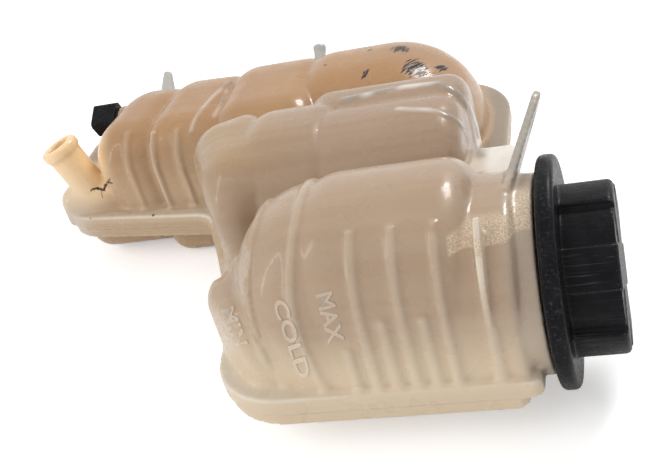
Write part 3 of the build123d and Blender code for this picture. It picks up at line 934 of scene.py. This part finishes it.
def tank_plastic():
    material, tree, shader = new_material("tank_plastic", TANK_CONSTANTS)
    measures = tank_measures(tree)
    place = measures["place"]
    scuffed = 0.0
    for placing in TANK_SCUFFS:
        scuffed = reckoned(tree, "MAXIMUM", scuffed, scuff(tree, place, *placing))
    worn = ranged(tree, patches(tree, place, WORN_SCALE), 0.0, 1.0, *WORN_ROUGHNESS)
    rough = reckoned(tree, "SUBTRACT", worn, product(tree, CLEAR_POLISH, measures["clear"]))
    rough = reckoned(tree, "MAXIMUM", rough, product(tree, SCUFF_ROUGHNESS, scuffed))
    finish_surface(tree, shader, tank_colour(tree, measures, scuffed), rough)
    roughen(tree, shader, noise(tree, place, GRAIN_SCALE, GRAIN_DETAIL), GRAIN_STRENGTH, GRAIN_HEIGHT)
    return material


# Black plastic of the cap and the sensor: scratched lobes, dust outside them, and worn edges with a
# painted highlight

BLACK_DEEP = colour(0.003, 0.0031, 0.004)
BLACK_FADED = colour(0.006, 0.0062, 0.0075)
SCRATCH_GREY = colour(0.10, 0.10, 0.105)
DUST_GREY = colour(0.11, 0.115, 0.12)
# Pale grey of the convex edges: wear and a painted highlight
EDGE_WEAR_AND_HIGHLIGHT_GREY = colour(0.15, 0.15, 0.155)
FADED_SCALE = 0.2
LOBE_FOOT_RADIUS, LOBE_TOP_RADIUS = (25.2, 26.4), (33.0, 31.0)
SCRATCH_SCALE, SCRATCH_DETAIL, SCRATCH_EDGE = (0.06, 2.6, 2.6), 4.0, (0.57, 0.68)
SCRATCH_SHARES = (0.08, 0.35)
DUST_SCALE, DUST_DETAIL, DUST_EDGE = 1.1, 6.0, (0.56, 0.7)
DUST_RADIUS, DUST_SHARES = (33.0, 35.0), (0.02, 0.2)
# Convex edges: how sharp, how strong and how broken the wear and painted highlight are
EDGE_BEND, EDGE_WEAR_AND_HIGHLIGHT_SHARE, EDGE_WORN_AND_LIT = (-0.14, -0.36), 0.8, (0.35, 0.6)
DUST_SPREAD, DUST_ROUGHNESS = (0.3, 0.7), (0.24, 0.46)
DUST_STRENGTH, DUST_HEIGHT = 0.2, 0.15 * MM


def black_plastic():
    material, tree, shader = new_material("black_plastic", {"Specular IOR Level": 0.11})
    place = neck_place(tree)
    radius = from_neck_axis(tree, place)
    base = mixed(tree, patches(tree, place, FADED_SCALE), BLACK_DEEP, BLACK_FADED)
    lobes = product(tree, ranged(tree, radius, *LOBE_FOOT_RADIUS), ranged(tree, radius, *LOBE_TOP_RADIUS))
    scratch = noise(tree, reckoned_vector(tree, "MULTIPLY", place, SCRATCH_SCALE), 1.0, SCRATCH_DETAIL)
    on_lobes = ranged(tree, lobes, 0.0, 1.0, *SCRATCH_SHARES)
    base = mixed(tree, product(tree, ranged(tree, scratch, *SCRATCH_EDGE), on_lobes), base, SCRATCH_GREY)
    dust = noise(tree, place, DUST_SCALE, DUST_DETAIL)
    outside = ranged(tree, radius, *DUST_RADIUS, *DUST_SHARES)
    base = mixed(tree, product(tree, ranged(tree, dust, *DUST_EDGE), outside), base, DUST_GREY)
    # Worn edges with a painted highlight: paler grey along convex edges, broken up by the dust noise
    worn_and_lit_edge = product(tree, EDGE_WEAR_AND_HIGHLIGHT_SHARE, ranged(tree, attribute(tree, "bend"), *EDGE_BEND))
    base = mixed(tree, product(tree, worn_and_lit_edge, ranged(tree, dust, *EDGE_WORN_AND_LIT)), base, EDGE_WEAR_AND_HIGHLIGHT_GREY)
    finish_surface(tree, shader, base, ranged(tree, dust, *DUST_SPREAD, *DUST_ROUGHNESS))
    roughen(tree, shader, dust, DUST_STRENGTH, DUST_HEIGHT)
    return material


# Mottled finishes of the crack and the pieces inside: two colours, roughness, metallic and scale

CRACK_FINISH = ((0.035, 0.018, 0.01), (0.10, 0.055, 0.03), (0.6, 0.85), 0.0, 0.9)
INNER_SCALE = 0.4
INNER_FINISHES = {
    "valve_plastic": ((0.07, 0.07, 0.075), (0.10, 0.10, 0.105), (0.4, 0.55), 0.0),
    "seal_rubber": ((0.012, 0.012, 0.012), (0.03, 0.03, 0.03), (0.55, 0.75), 0.0),
    "spring_steel": ((0.50, 0.50, 0.51), (0.62, 0.62, 0.62), (0.22, 0.4), 1.0),
    "valve_brass": ((0.66, 0.47, 0.20), (0.76, 0.58, 0.28), (0.25, 0.42), 1.0),
    "terminal_tin": ((0.55, 0.55, 0.53), (0.68, 0.68, 0.66), (0.25, 0.4), 1.0),
    "float_foam": ((0.035, 0.035, 0.035), (0.06, 0.06, 0.06), (0.7, 0.9), 0.0),
    "magnet_ceramic": ((0.09, 0.09, 0.09), (0.14, 0.14, 0.14), (0.5, 0.65), 0.0),
}


def mottled(name, first, second, roughness, metallic, scale):
    """A finish with mottled colour and roughness."""
    material, tree, shader = new_material(name, {"Metallic": metallic})
    cloud = patches(tree, neck_place(tree), scale)
    base = mixed(tree, cloud, colour(*first), colour(*second))
    finish_surface(tree, shader, base, ranged(tree, cloud, 0.0, 1.0, *roughness))
    return material


def dress(piece, material):
    """Gives a piece one finish all over."""
    piece.data.materials.clear()
    piece.data.materials.append(material)


def dress_nodes(materials):
    """Gives every CAD node the finish of its slot in the record."""
    for subpart in frame["record"]["subparts"]:
        dress(frame["nodes"][subpart["node"]], materials[subpart["material_slot"]])


# Stage: pale floor, soft light

WHITE = colour(1, 1, 1)
FLOOR_CONSTANTS = {"Base Color": colour(0.92, 0.92, 0.92), "Roughness": 0.9, "Specular IOR Level": 0.0}
FLOOR_SIZE = 4.0
FLOOR_DROP = 0.2 * MM
FLOOR_GLOW = 0.35
WORLD_LIGHT, WORLD_SEEN = 0.6, 1.0
LIGHT_AIM = Vector((0, 0, 0.03))

# Soft lights: name, place, width, height, power and whether reflections show it
SOFTBOXES = (
    ("key", (-0.6, -0.9, 0.9), 0.9, 0.9, 8.0, False),
    ("window", (0.5, 0.55, 0.85), 0.35, 0.35, 7.0, True),
    ("strip", (-0.95, -0.35, 0.55), 0.07, 1.0, 1.6, True),
)


def add_floor():
    """A pale floor that keeps the shadow, a little brighter to the camera."""
    bm = bmesh.new()
    bmesh.ops.create_grid(bm, x_segments=1, y_segments=1, size=FLOOR_SIZE)
    floor = add_object("floor", mesh_of("floor", bm))
    floor.location.z = -FLOOR_DROP
    material, tree, shader = new_material("pale_floor", FLOOR_CONSTANTS)
    light_path = add_node(tree, "ShaderNodeLightPath").outputs
    strength = product(tree, FLOOR_GLOW, light_path["Is Camera Ray"])
    glow = add_node(tree, "ShaderNodeEmission", {"Color": WHITE, "Strength": strength})
    both = add_node(tree, "ShaderNodeAddShader", {0: shader.outputs[0], 1: glow.outputs[0]})
    tree.links.new(both.outputs[0], tree.nodes["Material Output"].inputs["Surface"])
    floor.data.materials.append(material)


def add_world():
    """Even light, with a white background that the camera and reflections see."""
    world = bpy.data.worlds.new("studio")
    bpy.context.scene.world = world
    world.use_nodes = True
    tree = world.node_tree
    background = tree.nodes["Background"]
    light_path = add_node(tree, "ShaderNodeLightPath").outputs
    seen = reckoned(tree, "MAXIMUM", light_path["Is Camera Ray"], light_path["Is Transmission Ray"])
    seen = reckoned(tree, "MAXIMUM", seen, light_path["Is Glossy Ray"])
    strength = ranged(tree, seen, 0.0, 1.0, WORLD_LIGHT, WORLD_SEEN, smooth=False)
    tree.links.new(strength, background.inputs["Strength"])
    background.inputs["Color"].default_value = WHITE


def add_softbox(name, place, width, height, power, mirrored):
    """A flat soft light, which may be left out of reflections."""
    data = bpy.data.lights.new(name, "AREA")
    data.shape = "RECTANGLE"
    data.energy = power
    data.size = width
    data.size_y = height
    lamp = add_object(name, data)
    lamp.location = place
    lamp.rotation_euler = (LIGHT_AIM - Vector(place)).to_track_quat("-Z", "Y").to_euler()
    lamp.visible_glossy = mirrored


# Put together

cad_tree = tree_of([frame["nodes"][node].data for node in SHELLS])
hollow = cavity_tree()
skins = [shell_skin(node, cad_tree, hollow) for node in SHELLS]
cap = cap_skin()
coils = squeezed_springs()
skin_tree = tree_of([skin.data for skin in skins])
marks = [level_mark(*mark, skin_tree, hollow) for mark in LEVEL_MARKS]
cracks = [crack_line(number, *line, skin_tree) for number, line in enumerate(CRACK_LINES)]

materials = {"tank_plastic": tank_plastic(), "black_plastic": black_plastic()}
for slot, finish in INNER_FINISHES.items():
    materials[slot] = mottled(slot, *finish, INNER_SCALE)
dress_nodes(materials)
for piece in skins + marks:
    dress(piece, materials["tank_plastic"])
dress(cap, materials["black_plastic"])
for coil in coils:
    dress(coil, materials["spring_steel"])
crack_dirt = mottled("crack_dirt", *CRACK_FINISH)
for crack in cracks:
    dress(crack, crack_dirt)

add_floor()
add_world()
for softbox in SOFTBOXES:
    add_softbox(*softbox)
add_camera()
bpy.context.scene.view_settings.view_transform = "Standard"
